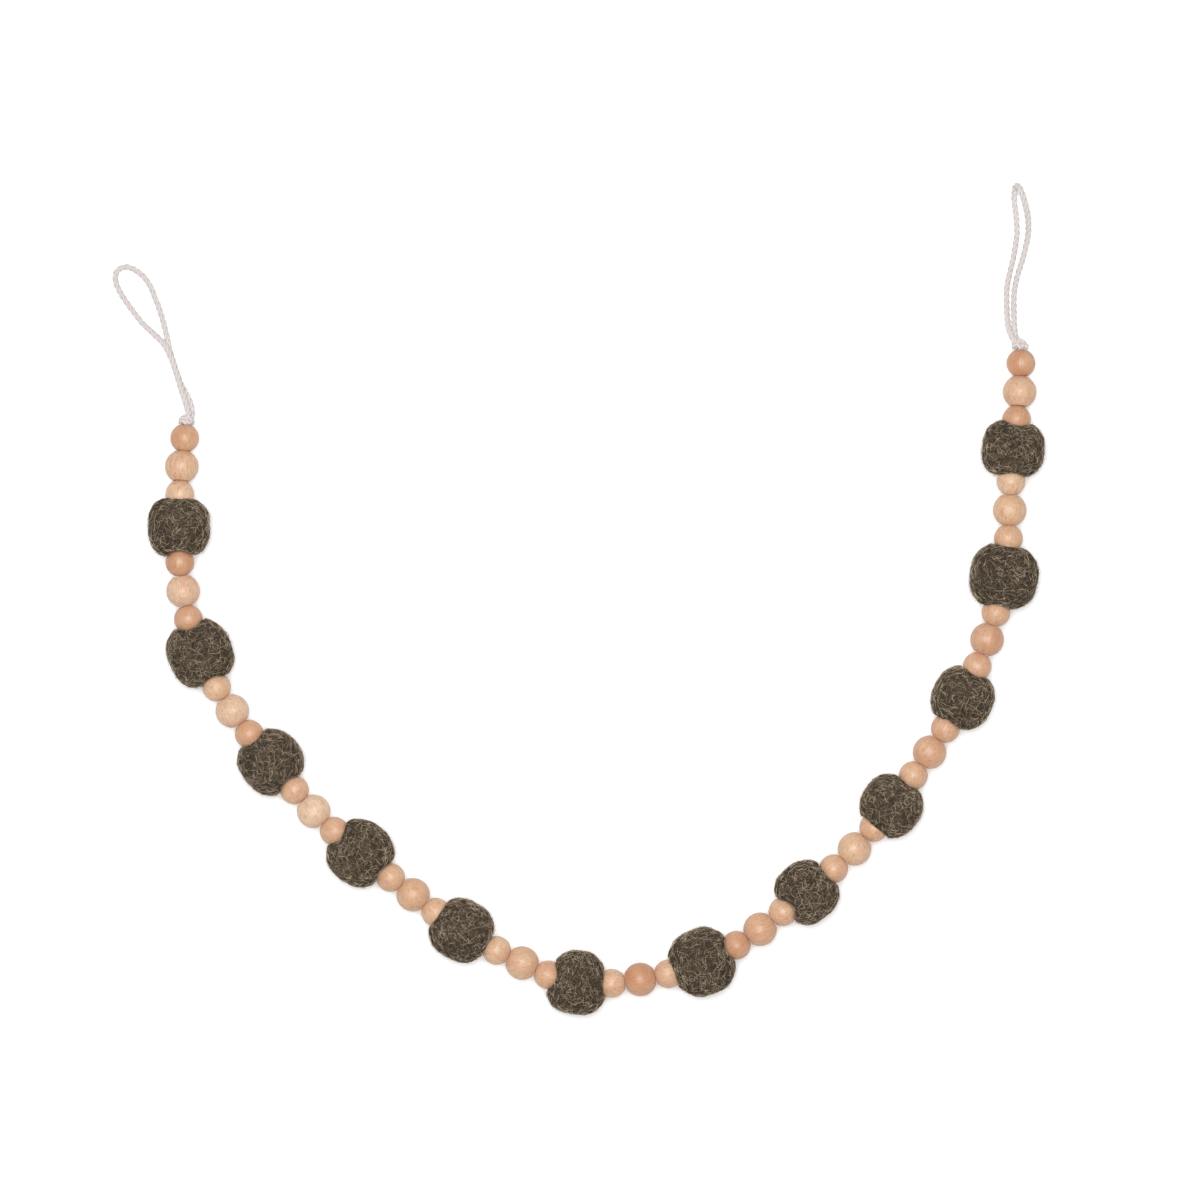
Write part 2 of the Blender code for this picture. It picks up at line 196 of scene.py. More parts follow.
LOOP_ROUTES = {
    "left": [
        (-0.1699, 0.1078, 0.0066),
        (-0.1695, 0.1102, 0.0067),
        (-0.1704, 0.1138, 0.0062),
        (-0.1721, 0.1188, 0.0054),
        (-0.1737, 0.1238, 0.0047),
        (-0.1752, 0.1288, 0.0043),
        (-0.1769, 0.1334, 0.0042),
        (-0.1798, 0.1389, 0.0039),
        (-0.1841, 0.1432, 0.0021),
        (-0.1888, 0.1476, 0.0014),
        (-0.1935, 0.1536, 0.0014),
        (-0.1974, 0.1593, 0.0014),
        (-0.2000, 0.1649, 0.0014),
        (-0.1994, 0.1694, 0.0014),
        (-0.1953, 0.1711, 0.0014),
        (-0.1900, 0.1685, 0.0014),
        (-0.1861, 0.1639, 0.0014),
        (-0.1835, 0.1579, 0.0014),
        (-0.1812, 0.1516, 0.0014),
        (-0.1792, 0.1441, 0.0014),
        (-0.1779, 0.1383, 0.0014),
        (-0.1764, 0.1326, 0.0014),
        (-0.1748, 0.1276, 0.0014),
        (-0.1730, 0.1227, 0.0015),
        (-0.1707, 0.1185, 0.0023),
        (-0.1688, 0.1142, 0.0032),
        (-0.1681, 0.1102, 0.0037),
        (-0.1686, 0.1078, 0.0046),
    ],
    "right": [
        (0.1746, 0.1391, 0.0066),
        (0.1730, 0.1414, 0.0062),
        (0.1716, 0.1449, 0.0048),
        (0.1710, 0.1491, 0.0026),
        (0.1708, 0.1531, 0.0014),
        (0.1707, 0.1576, 0.0014),
        (0.1708, 0.1623, 0.0014),
        (0.1718, 0.1677, 0.0014),
        (0.1735, 0.1750, 0.0014),
        (0.1744, 0.1801, 0.0014),
        (0.1750, 0.1848, 0.0014),
        (0.1748, 0.1906, 0.0014),
        (0.1741, 0.1966, 0.0014),
        (0.1738, 0.2014, 0.0020),
        (0.1744, 0.2047, 0.0047),
        (0.1757, 0.2037, 0.0078),
        (0.1771, 0.2000, 0.0086),
        (0.1784, 0.1955, 0.0076),
        (0.1794, 0.1906, 0.0052),
        (0.1796, 0.1850, 0.0026),
        (0.1787, 0.1796, 0.0014),
        (0.1772, 0.1738, 0.0014),
        (0.1753, 0.1678, 0.0014),
        (0.1740, 0.1619, 0.0014),
        (0.1737, 0.1561, 0.0014),
        (0.1738, 0.1501, 0.0014),
        (0.1740, 0.1453, 0.0023),
        (0.1745, 0.1414, 0.0034),
        (0.1756, 0.1391, 0.0047),
    ],
}
print(f"{len(FELT_BALLS)} felt balls, and {len(STRUNG_ROUTE)} points on the route")


# %% The pieces in their order
def strung_pieces():
    """The pieces in their order on the cord, as (node, kind, sizes)."""
    pieces = []
    small_count = 0
    for group in range(len(FELT_BALLS) + 1):
        for size in ("small", "large", "small"):
            sizes = dict(zip(BEAD_COLUMNS, BEAD_SIZES[size]))
            if size == "large":
                pieces.append((f"large_bead_{group + 1:02d}", size, sizes))
            else:
                small_count += 1
                pieces.append((f"small_bead_{small_count:02d}", size, sizes))
        if group < len(FELT_BALLS):
            sizes = dict(zip(FELT_COLUMNS, FELT_BALLS[group]))
            pieces.append((f"felt_ball_{group + 1:02d}", "felt", sizes))
    return pieces


pieces = strung_pieces()
print(f"{len(pieces)} pieces, from {pieces[0][0]} to {pieces[-1][0]}")

# %% The route in space
STRUNG_SAMPLES = 160           # steps of the curve from one route point to the next


def smooth_curve(points, samples):
    """Points of a Catmull-Rom curve through a given route."""
    padded = [2 * points[0] - points[1], *points, 2 * points[-1] - points[-2]]
    curve = []
    for index in range(1, len(padded) - 2):
        before, start, end, after = padded[index - 1:index + 3]
        for step in range(samples):
            t = step / samples
            curve.append(0.5 * (
                2 * start
                + (end - before) * t
                + (2 * before - 5 * start + 4 * end - after) * t * t
                + (3 * start - before - 3 * end + after) * t * t * t
            ))
    curve.append(points[-1])
    return curve


def strung_route():
    """The route in space: balls rest, the beads between them sag, and the ends droop."""
    heights = [ball[FELT_COLUMNS.index("tall")] / 2 for ball in FELT_BALLS]
    route = []
    balls_passed = 0
    for kind, x, y in STRUNG_ROUTE:
        at_an_end = balls_passed in (0, len(heights))
        if kind == "F":
            z = heights[balls_passed]
            balls_passed += 1
        elif kind == "E":
            z = BEAD_SIZES["small"][0] / 2 + END_BEAD_LIFT
        elif at_an_end:
            z = BEAD_SIZES["large"][0] / 2 + END_BEAD_LIFT
        else:
            z = (heights[balls_passed - 1] + heights[balls_passed]) / 2 - MID_BEAD_SAG
        route.append(Vector((x, y, z)))
    return route


strung_curve = smooth_curve(strung_route(), STRUNG_SAMPLES)
print(f"the route has {len(strung_curve)} points")

# %% Walk the pieces along the route
UP = Vector((0.0, 0.0, 1.0))
GAP_ROUNDS = 4                 # how often the gaps at the joints are worked out anew


def length_of(sizes):
    """How much of the cord a bead or a ball takes up."""
    return sizes["seat"] if "seat" in sizes else sizes["length"]


def walk(curve, pitches):
    """Joints between pieces: each lies one pitch along from the last, in a straight line."""
    joints = [curve[0]]
    index = 0
    for pitch in pitches:
        while index < len(curve) - 1 and (curve[index] - joints[-1]).length < pitch:
            index += 1
        joints.append(joints[-1] + (curve[index] - joints[-1]).normalized() * pitch)
    return joints


def string_up(pieces, curve):
    """Set each piece on the cord. Where the cord bends, a joint opens by the bend."""
    diameter, length = BEAD_SIZES["small"]
    face = math.sqrt(diameter ** 2 - length ** 2) / 2
    gaps = [CLEARANCE] * (len(pieces) + 1)
    for _ in range(GAP_ROUNDS):
        pitches = [
            length_of(sizes) + (gaps[index] + gaps[index + 1]) / 2
            for index, (_, _, sizes) in enumerate(pieces)
        ]
        joints = walk(curve, pitches)
        axes = [(end - start).normalized() for start, end in zip(joints, joints[1:])]
        for index in range(1, len(pieces)):
            bend = axes[index - 1].angle(axes[index])
            gaps[index] = CLEARANCE + 2 * face * math.tan(bend / 2)
    centres = []
    for index, (_, _, sizes) in enumerate(pieces):
        centres.append(joints[index] + axes[index] * (gaps[index] + length_of(sizes)) / 2)
    return joints, centres, axes


def place_along(centre, axis):
    """A place with local X along the cord, local Y level across it, and local Z up."""
    across = UP.cross(axis).normalized()
    turn = Matrix((axis, across, axis.cross(across))).transposed().to_4x4()
    return Matrix.Translation(centre) @ turn


joints, centres, axes = string_up(pieces, strung_curve)
places = [place_along(centre, axis) for centre, axis in zip(centres, axes)]

worst = 0.0
for (node, kind, _), centre in zip(pieces, centres):
    if kind != "felt":
        low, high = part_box(node)
        worst = max(worst, ((low + high) / 2 - centre).length)
print(f"{len(pieces)} pieces strung; the beads are within {worst * 1000:.3f} mm of their solids")

# %% [markdown]
# ## The camera
#
# The garland is looked at from straight above. A long lens from well up keeps the beads
# round at the edges of the frame, where a short lens would show their sides. The lens
# follows from the width of table that the frame takes in.

# %% Camera
FRAME_WIDTH = 0.498            # width of the view
CAMERA_HEIGHT = 3.0
SIGHT_LEVEL = 0.0095           # the level at which the view has that width
SENSOR_WIDTH = 36.0
FRAME_CENTRE = (0.0015, 0.0325)

camera_data = bpy.data.cameras.new("camera")
camera_data.sensor_width = SENSOR_WIDTH
camera_data.lens = SENSOR_WIDTH * (CAMERA_HEIGHT - SIGHT_LEVEL) / FRAME_WIDTH
camera = bpy.data.objects.new("camera", camera_data)
camera.location = (*FRAME_CENTRE, CAMERA_HEIGHT)
bpy.context.scene.collection.objects.link(camera)
bpy.context.scene.camera = camera
print(f"camera with a {camera_data.lens:.0f} mm lens, {CAMERA_HEIGHT} m up")

# %% [markdown]
# ## A class for shader maths
#
# A material is a graph of nodes, but a formula is easier to read than a graph. This
# class wraps one socket and lets Python's operators add the Math nodes, so that
# `1 - mask * 0.5` means what it says. Every other node comes from its one method,
# `node`, which sets the node's settings first and then its sockets.


# %% Wires
class Wire:
    """One socket of a material's nodes, with Python's operators for its maths."""

    def __init__(self, tree, socket=None):
        self.tree = tree
        self.socket = socket

    def node(self, kind, settings=None, sockets=None, out=0):
        """Add a node: its settings, then its sockets' values or links, and one outlet."""
        node = self.tree.nodes.new("ShaderNode" + kind)
        for name, value in (settings or {}).items():
            if name == "stops":
                ramp = node.color_ramp.elements
                for element, (position, colour) in ((ramp[0], value[0]), (ramp[-1], value[-1])):
                    element.position = position
                    element.color = colour
                for position, colour in value[1:-1]:
                    ramp.new(position).color = colour
            else:
                setattr(node, name, value)
        for name, value in (sockets or {}).items():
            if isinstance(value, Wire):
                self.tree.links.new(value.socket, node.inputs[name])
            else:
                node.inputs[name].default_value = value
        return Wire(self.tree, node.outputs[out])

    def maths(self, operation, *values):
        """A Math node on one or two values."""
        return self.node("Math", {"operation": operation}, dict(enumerate(values)))

    def __add__(self, other):
        return self.maths("ADD", self, other)

    def __sub__(self, other):
        return self.maths("SUBTRACT", self, other)

    def __mul__(self, other):
        return self.maths("MULTIPLY", self, other)

    def __rsub__(self, other):
        return self.maths("SUBTRACT", other, self)

    __radd__ = __add__
    __rmul__ = __mul__

    def size(self):
        """The value without its sign."""
        return self.maths("ABSOLUTE", self)

    def between(self, low, high):
        """0 below low, 1 above high, and an even slope between them."""
        sockets = {"Value": self, "From Min": low, "From Max": high}
        return self.node("MapRange", {"clamp": True}, sockets)

    def mix(self, first, second):
        """Blend two colours by this value. Sockets 6 and 7 and outlet 2 carry colours."""
        return self.node("Mix", {"data_type": "RGBA"}, {0: self, 6: first, 7: second}, out=2)

    def cloud(self, scale, detail, distortion=0.0):
        """A noise value at this place."""
        sockets = {"Vector": self, "Scale": scale, "Detail": detail, "Distortion": distortion}
        return self.node("TexNoise", {}, sockets)

    def stretched(self, x, y, z):
        """This place, scaled along each axis."""
        return self.node("Mapping", {}, {"Vector": self, "Scale": (x, y, z)})


def new_material(name, settings):
    """A Principled material, with what is the same all over set on its own sockets."""
    material = bpy.data.materials.new(name)
    material.use_nodes = True
    shader = material.node_tree.nodes["Principled BSDF"]
    for socket, value in settings.items():
        shader.inputs[socket].default_value = value
    return material, shader, Wire(material.node_tree)


def plug(shader, **wires):
    """Link wires to the shader's sockets, named with _ for a space."""
    for name, wire in wires.items():
        wire.tree.links.new(wire.socket, shader.inputs[name.replace("_", " ")])


# %% [markdown]
# ## Twisted cotton cord
#
# The cord is three plies of soft cotton laid round each other. Seen from outside it is
# a tube with three lobes that turn as they go, so the surface shows slanting bands. The
# finer fibres run nearly straight along it. `fibre` is an attribute that holds, for
# each vertex, its place as if the cord were pulled out straight along Z, so the pattern
# follows every bend. `groove` is 0 on top of a ply and 1 between two of them, and the
# material darkens the colour towards 1: painted shade between the plies. The strung
# cord shows only in the narrow gaps between beads, so it keeps the mesh of its solid, and
# takes the same cotton on plain coordinates.


# %% Cotton material
def cotton_material(name, pulled_out):
    """Soft off-white cotton, with its fibres along Z of the pulled-out or the real cord."""
    material, shader, start = new_material(name, {
        "Specular IOR Level": 0.20,
        "Sheen Weight": 0.20,
        "Sheen Roughness": 0.5,
    })
    if pulled_out:
        fibre = start.node("Attribute", {"attribute_name": "fibre"}, out="Vector")
    else:
        fibre = start.node("TexCoord", {}, out="Object")
    groove = start.node("Attribute", {"attribute_name": "groove"}, out="Fac")
    strands = fibre.stretched(5200.0, 5200.0, 520.0).cloud(1.0, 3.0, 0.4).between(0.30, 0.70)
    patches = fibre.cloud(260.0, 2.0).between(0.35, 0.70)
    base = patches.mix((0.760, 0.690, 0.670, 1.0), (0.720, 0.700, 0.670, 1.0))
    shaded = (strands * 0.30).mix(base, (0.560, 0.500, 0.490, 1.0))
    # Painted shade: the colour darkens in the grooves between the plies.
    colour = (groove * 0.45).mix(shaded, (0.470, 0.400, 0.390, 1.0))
    bump = strands.node("Bump", {}, {"Height": strands, "Strength": 0.5, "Distance": 0.0001})
    plug(shader, Base_Color=colour, Roughness=strands * 0.1 + 0.8, Normal=bump)
    return material


COTTON = cotton_material("twisted_cotton", True)
STRUNG_COTTON = cotton_material("strung_cotton", False)
nodes["string"].material_slots[0].material = STRUNG_COTTON
print("made the cotton of the loops and knots, and that of the strung cord")

# %% [markdown]
# ## Laying a cord
#
# A cord is swept: a ring of points in the shape of three touching plies is set on the
# route every half millimetre or so, and each ring is turned a little further than the last.
# Turned anticlockwise as they go away, the plies slant like the stroke of a Z. The
# rings' middles are the path that the cord follows.

# %% Even steps along a cord
RING_SPACING = 0.00045
FREE_CORD_SAMPLES = 40         # steps of the curve from one route point to the next


def even_path(points, spacing):
    """Even steps along a smooth curve through the points."""
    curve = smooth_curve([Vector(point) for point in points], FREE_CORD_SAMPLES)
    travelled = [0.0]
    for before, after in zip(curve, curve[1:]):
        travelled.append(travelled[-1] + (after - before).length)
    count = round(travelled[-1] / spacing)
    path = []
    index = 0
    for step in range(count + 1):
        wanted = travelled[-1] * step / count
        while index < len(curve) - 2 and travelled[index + 1] < wanted:
            index += 1
        share = (wanted - travelled[index]) / (travelled[index + 1] - travelled[index])
        path.append(curve[index].lerp(curve[index + 1], min(share, 1.0)))
    return path


# %% Sweep a cord
PLY_RADIUS = 0.00066
PLY_OFFSET = 0.00062           # from the cord's middle to the middle of a ply
PLY_SHARE = math.tau / 3       # how much of the way round a ply takes up
CORD_LAY = 0.0080              # length of cord in which a ply goes once round
CORD_SIDES = 24


def sweep_cord(shape, path, groove_layer, fibre_layer, start_turn):
    """Add a twisted three-ply cord along a path to a mesh, with both ends closed."""
    lengths = [0.0]
    for before, after in zip(path, path[1:]):
        lengths.append(lengths[-1] + (after - before).length)
    heading = (path[1] - path[0]).normalized()
    side = heading.orthogonal().normalized()
    rings = []
    for index, middle in enumerate(path):
        after = path[min(index + 1, len(path) - 1)]
        before = path[max(index - 1, 0)]
        turned = (after - before).normalized()
        side = heading.rotation_difference(turned) @ side
        heading = turned
        side = (side - heading * side.dot(heading)).normalized()
        other = heading.cross(side)
        twist = start_turn + math.tau * lengths[index] / CORD_LAY
        ring = []
        for corner in range(CORD_SIDES):
            angle = math.tau * corner / CORD_SIDES
            from_ply = (angle + PLY_SHARE / 2) % PLY_SHARE - PLY_SHARE / 2
            across = PLY_OFFSET * math.sin(from_ply)
            reach = PLY_OFFSET * math.cos(from_ply) + math.sqrt(PLY_RADIUS ** 2 - across ** 2)
            offset = side * math.cos(angle + twist) + other * math.sin(angle + twist)
            vert = shape.verts.new(middle + offset * reach)
            level = (math.cos(angle + twist) * reach, math.sin(angle + twist) * reach)
            vert[fibre_layer] = (*level, lengths[index])
            vert[groove_layer] = abs(from_ply) / (PLY_SHARE / 2)
            ring.append(vert)
        rings.append(ring)
    for first, second in zip(rings, rings[1:]):
        for corner in range(CORD_SIDES):
            following = (corner + 1) % CORD_SIDES
            quad = (first[corner], first[following], second[following], second[corner])
            shape.faces.new(quad)
    for ring, middle, flipped in ((rings[0], path[0], True), (rings[-1], path[-1], False)):
        centre = shape.verts.new(middle)
        centre[fibre_layer] = (0.0, 0.0, 0.0)
        centre[groove_layer] = 0.5
        for corner in range(CORD_SIDES):
            first, second = ring[corner], ring[(corner + 1) % CORD_SIDES]
            shape.faces.new((second, first, centre) if flipped else (first, second, centre))


def cord_piece(name, turns_and_paths, replaced):
    """A piece made of one or more lengths of twisted cord, in place of a solid."""
    shape = bmesh.new()
    fibre_layer = shape.verts.layers.float_vector.new("fibre")
    groove_layer = shape.verts.layers.float.new("groove")
    for start_turn, path in turns_and_paths:
        sweep_cord(shape, path, groove_layer, fibre_layer, start_turn)
    data = bpy.data.meshes.new(name)
    shape.to_mesh(data)
    shape.free()
    data.shade_smooth()
    return new_piece(name, data, COTTON, [replaced])


# %% The two hanging loops
LOOP_TURN = 0.6                # where a loop's plies lie at its first ring, in radians

for side, route in LOOP_ROUTES.items():
    path = even_path(route, RING_SPACING)
    loop = cord_piece(f"hanging_loop_{side}", [(LOOP_TURN, path)], f"loop_{side}")
    length = sum((after - before).length for before, after in zip(path, path[1:]))
    print(f"{side} loop: {length * 1000:.0f} mm of cord in {len(path)} rings")

# %% [markdown]
# ## Knots
#
# At each end the doubled cord is knotted tight against the last bead, which keeps the
# string from slipping through. The same cord arches over the two strands, goes round
# behind them, comes up once more nearer the bead, and tucks its end into the middle. On
# the right knot a cut end sticks out as well. The routes are in the knot's own
# directions: along the strung cord, level across it, and up.

# %% Tie the knots
KNOT_ALONG = 0.0038            # length of a knot along the cord
KNOT_TURN = 0.0                # where a knot's plies lie at its first ring, in radians
CUT_END_TURN = 1.0             # and those of the cut end
KNOT_ROUTES = {
    "left": [
        (0.0006, -0.0008, -0.0014),
        (0.0010, -0.0019, -0.0008),
        (0.0010, -0.0024, 0.0003),
        (0.0001, -0.0019, 0.0014),
        (-0.0007, -0.0004, 0.0020),
        (-0.0005, 0.0011, 0.0019),
        (0.0004, 0.0021, 0.0009),
        (0.0009, 0.0020, -0.0004),
        (0.0003, 0.0010, -0.0016),
        (-0.0007, -0.0006, -0.0017),
        (-0.0008, -0.0016, -0.0006),
        (0.0001, -0.0013, 0.0006),
        (0.0010, -0.0002, 0.0014),
        (0.0011, 0.0010, 0.0008),
        (0.0004, 0.0010, -0.0002),
    ],
    "right": [
        (-0.0004, 0.0012, -0.0014),
        (-0.0009, 0.0023, -0.0008),
        (-0.0007, 0.0028, 0.0003),
        (0.0005, 0.0025, 0.0013),
        (0.0014, 0.0013, 0.0019),
        (0.0013, -0.0001, 0.0018),
        (0.0003, -0.0011, 0.0009),
        (-0.0007, -0.0010, -0.0004),
        (-0.0006, 0.0002, -0.0015),
        (0.0005, 0.0014, -0.0016),
        (0.0012, 0.0018, -0.0004),
        (0.0004, 0.0014, 0.0008),
        (-0.0007, 0.0007, 0.0014),
        (-0.0010, -0.0004, 0.0007),
        (-0.0004, -0.0006, -0.0003),
    ],
}
CUT_END = [
    (0.0000, -0.0004, -0.0006),
    (-0.0004, -0.0013, 0.0000),
    (-0.0008, -0.0021, 0.0003),
    (-0.0010, -0.0029, 0.0003),
]


def knot_path(place, route):
    """A route in the knot's own directions, put in its place."""
    return even_path([place @ Vector(spot) for spot in route], RING_SPACING)


knot_inset = CLEARANCE + KNOT_ALONG / 2
knot_places = {
    "left": place_along(joints[0] - axes[0] * knot_inset, axes[0]),
    "right": place_along(joints[-1] + axes[-1] * knot_inset, axes[-1]),
}
for side, place in knot_places.items():
    strands = [(KNOT_TURN, knot_path(place, KNOT_ROUTES[side]))]
    if side == "right":
        strands.append((CUT_END_TURN, knot_path(place, CUT_END)))
    knot = cord_piece(f"end_knot_{side}", strands, f"knot_{side}")
    print(f"{side} knot: {len(knot.data.polygons)} faces")

# %% [markdown]
# ## Wood
#
# Small beads are turned from pale hardwood and left unstained, so each one keeps the
# tone of its own stick: cream, tan or pinkish orange. The pattern is worked out in the
# bead's own grain space, which is stored on its mesh as the attribute `grain`, with the
# wood fibres along X. Long soft bands are the growth rings, fine streaks are the
# fibres, and short dark dashes are the pores. `tone` is one number for each bead.


# %% Wood material
def wood_material():
    """Pale hardwood, whose grain and tone come from each bead's own attributes."""
    material, shader, start = new_material("bead_wood", {
        "Specular IOR Level": 0.42,
        "Coat Weight": 0.10,
        "Coat Roughness": 0.35,
    })
    grain = start.node("Attribute", {"attribute_name": "grain"}, out="Vector")
    tone = start.node("Attribute", {"attribute_name": "tone"}, out="Fac")
    base = tone.node("ValToRGB", {"stops": [
        (0.00, (0.820, 0.610, 0.440, 1.0)),
        (0.30, (0.745, 0.500, 0.330, 1.0)),
        (0.62, (0.660, 0.385, 0.235, 1.0)),
        (1.00, (0.545, 0.245, 0.130, 1.0)),
    ]}, {"Fac": tone})
    blush = grain.cloud(75.0, 1.0).between(0.42, 0.66)
    rings = grain.stretched(16.0, 300.0, 60.0).cloud(1.0, 2.0, 0.6).between(0.36, 0.66)
    streaks = grain.stretched(90.0, 1500.0, 1500.0).cloud(1.0, 3.0).between(0.32, 0.68)
    pores = grain.stretched(330.0, 2400.0, 2400.0).cloud(1.0, 1.0).between(0.60, 0.72)
    patches = grain.cloud(330.0, 3.0, 0.8).between(0.52, 0.74)
    flushed = (blush * 0.35).mix(base, (0.640, 0.350, 0.245, 1.0))
    banded = (rings * 0.40).mix(flushed, (0.760, 0.560, 0.370, 1.0))
    streaked = (streaks * 0.40).mix(banded, (0.440, 0.225, 0.120, 1.0))
    patched = (patches * 0.48).mix(streaked, (0.520, 0.240, 0.110, 1.0))
    colour = (pores * 0.50).mix(patched, (0.250, 0.110, 0.050, 1.0))
    relief = streaks * 0.4 - pores * 0.8
    bump = relief.node("Bump", {}, {"Height": relief, "Strength": 0.3, "Distance": 0.0001})
    plug(shader, Base_Color=colour, Roughness=streaks * 0.12 + 0.42, Normal=bump)
    return material


WOOD = wood_material()
print("made the wood material")

# %% [markdown]
# ## Turned beads
#
# A bead is a ball with both ends faced flat and a hole drilled through, so it is made
# the same way: a sphere, bisected twice, with the two flat faces inset and bridged into
# the hole. A small bevel eases the edges. Each size is modelled once, and every bead
# is a copy of it with its own mesh, set in its place on the cord.

# %% Model each bead size once
TURNED_LENGTHS = {"small": 0.01075, "large": 0.01235}    # the faces all but touch
BEAD_SEGMENTS = 40
BEAD_RINGS = 24
BEAD_EDGE = 0.00020
BEAD_EDGE_CUTS = 3
BORE_EDGE = 0.0004
BORE_EDGE_CUTS = 2
FACE_CORNERS = 8               # a faced end has more corners than this
NEARLY = 0.0001                # what counts as the same radius or the same direction
NEARLY_LEVEL = 0.00001         # what counts as the same level
SHARP_ANGLE = math.radians(40)


def select_where(piece, kind, wanted):
    """In edit mode, select exactly the faces or the edges that a test picks."""
    shape = bmesh.from_edit_mesh(piece.data)
    for part in getattr(shape, kind):
        part.select_set(False)
    for part in getattr(shape, kind):
        if wanted(part):
            part.select_set(True)
    bmesh.update_edit_mesh(piece.data)


def model_bead(size):
    """A faced and drilled ball about the Z axis."""
    diameter = BEAD_SIZES[size][0]
    length = TURNED_LENGTHS[size]
    half = length / 2
    face_radius = math.sqrt(diameter ** 2 - length ** 2) / 2

    def is_end(face):
        return abs(abs(face.normal.z) - 1) < NEARLY and len(face.verts) > FACE_CORNERS

    def at_radius(edge, radius):
        ends = [math.hypot(corner.co.x, corner.co.y) for corner in edge.verts]
        level = all(abs(abs(corner.co.z) - half) < NEARLY_LEVEL for corner in edge.verts)
        return level and all(abs(end - radius) < NEARLY for end in ends)

    let_go()
    bpy.ops.mesh.primitive_uv_sphere_add(
        segments=BEAD_SEGMENTS, ring_count=BEAD_RINGS, radius=diameter / 2
    )
    bead = bpy.context.object
    bead.name = f"pattern_{size}"
    bpy.ops.object.mode_set(mode="EDIT")
    for side in (1, -1):
        bpy.ops.mesh.select_all(action="SELECT")
        bpy.ops.mesh.bisect(
            plane_co=(0, 0, side * half), plane_no=(0, 0, side), use_fill=True, clear_outer=True
        )
    select_where(bead, "faces", is_end)
    bpy.ops.mesh.inset(thickness=face_radius - BEAD_BORE_RADIUS)
    bpy.ops.mesh.bridge_edge_loops()
    select_where(bead, "edges", lambda edge: at_radius(edge, face_radius))
    bpy.ops.mesh.bevel(offset=BEAD_EDGE, segments=BEAD_EDGE_CUTS)
    select_where(bead, "edges", lambda edge: at_radius(edge, BEAD_BORE_RADIUS))
    bpy.ops.mesh.bevel(offset=BORE_EDGE, segments=BORE_EDGE_CUTS)
    bpy.ops.mesh.select_all(action="SELECT")
    bpy.ops.mesh.normals_make_consistent(inside=False)
    bpy.ops.object.mode_set(mode="OBJECT")
    bpy.ops.object.shade_smooth_by_angle(angle=SHARP_ANGLE)
    return bead


patterns = {size: model_bead(size) for size in BEAD_SIZES}
for size, pattern in patterns.items():
    print(f"{size} bead: {len(pattern.data.polygons)} faces")

# %% [markdown]
# ## A copy for every bead
#
# The tones follow the row of beads, from 0, pale cream, to 1, pinkish orange. The grain
# mostly runs along the hole, a little askew, and turns on from bead to bead.

# %% Tones and grain
BEAD_TONES = [
    0.80, 0.40, 0.25, 0.90, 0.20, 0.80, 0.40, 0.15, 0.65, 0.50, 0.05, 0.60, 0.50,
    0.55, 0.50, 0.40, 0.50, 0.55, 0.40, 0.95, 0.45, 0.90, 0.65, 0.50, 0.55, 0.30,
    0.60, 0.55, 0.60, 0.70, 0.55, 0.75, 0.55, 0.60, 0.40, 0.15, 0.95, 0.45, 0.90,
]
GRAIN_SKEW = math.radians(14)
GRAIN_SEED = 7
AXIS_TO_X = Matrix.Rotation(math.radians(90), 4, "Y")    # a pattern bead's axis is Z
print(f"{len(BEAD_TONES)} tones, from {min(BEAD_TONES)} to {max(BEAD_TONES)}")


# %% Read and write what a mesh keeps for each vertex
def store_vectors(data, name, vectors):
    """Keep a vector for each vertex of a mesh, for its material to read."""
    layer = data.attributes.new(name, "FLOAT_VECTOR", "POINT")
    layer.data.foreach_set("vector", np.asarray(vectors, np.float32).ravel())


def store_numbers(data, name, numbers):
    """Keep a number for each vertex of a mesh, for its material to read."""
    layer = data.attributes.new(name, "FLOAT", "POINT")
    layer.data.foreach_set("value", np.asarray(numbers, np.float32))


def corners_of(data):
    """The places of a mesh's vertices, as rows of three numbers."""
    flat = np.empty(len(data.vertices) * 3, np.float32)
    data.vertices.foreach_get("co", flat)
    return flat.reshape(-1, 3).astype(float)


def set_corners(data, corners):
    """Move a mesh's vertices."""
    data.vertices.foreach_set("co", np.asarray(corners, np.float32).ravel())
    data.update()


# %% Copy the beads along the cord
def add_bead(node, size, place, tone, dice):
    """One bead: a copy of its pattern, with its own grain, in its place on the cord."""
    data = patterns[size].data.copy()
    local = corners_of(data)
    skew = Matrix.Rotation(dice.gauss(0, GRAIN_SKEW), 3, "X")
    roll = Matrix.Rotation(dice.uniform(0, math.tau), 3, "Z")
    turn = np.array(AXIS_TO_X.to_3x3() @ skew @ roll)
    offset = np.array([dice.uniform(0, 1) for _ in range(3)])
    store_vectors(data, "grain", local @ turn.T + offset)
    store_numbers(data, "tone", np.full(len(local), tone))
    data.transform(place @ AXIS_TO_X)
    new_piece(node.replace("bead", "turned_bead"), data, WOOD, [node])


grain_dice = random.Random(GRAIN_SEED)
bead_count = 0
for (node, kind, _), place in zip(pieces, places):
    if kind != "felt":
        add_bead(node, kind, place, BEAD_TONES[bead_count], grain_dice)
        bead_count += 1
for pattern in patterns.values():
    bpy.data.objects.remove(pattern)
print(f"{bead_count} beads copied along the cord")

# %% [markdown]
# ## Felt
#
# Grey-brown wool is matted into the balls, and paler hairs curl all over their surface.
# The matted wool is drawn by the material. Where a smooth noise passes its middle value
# it leaves a thin, closed, wandering line. One such web of lines stands for matted hair
# and a finer one for fuzz. Noise at larger scales makes the blotches and worn patches.
# An attribute on each ball's mesh, 1 in the crease round a bead and 0 away from it, paints shade
# into that crease.


# %% Felt material
def matted_lines(place, scale, width, shift):
    """Thin wandering lines: where a noise is within a width of its middle value."""
    moved = place.node("VectorMath", {"operation": "ADD"}, {0: place, 1: shift})
    off_middle = (moved.cloud(scale, 1.5, 1.2) - 0.5).size()
    return 1 - off_middle.between(0.0, width)


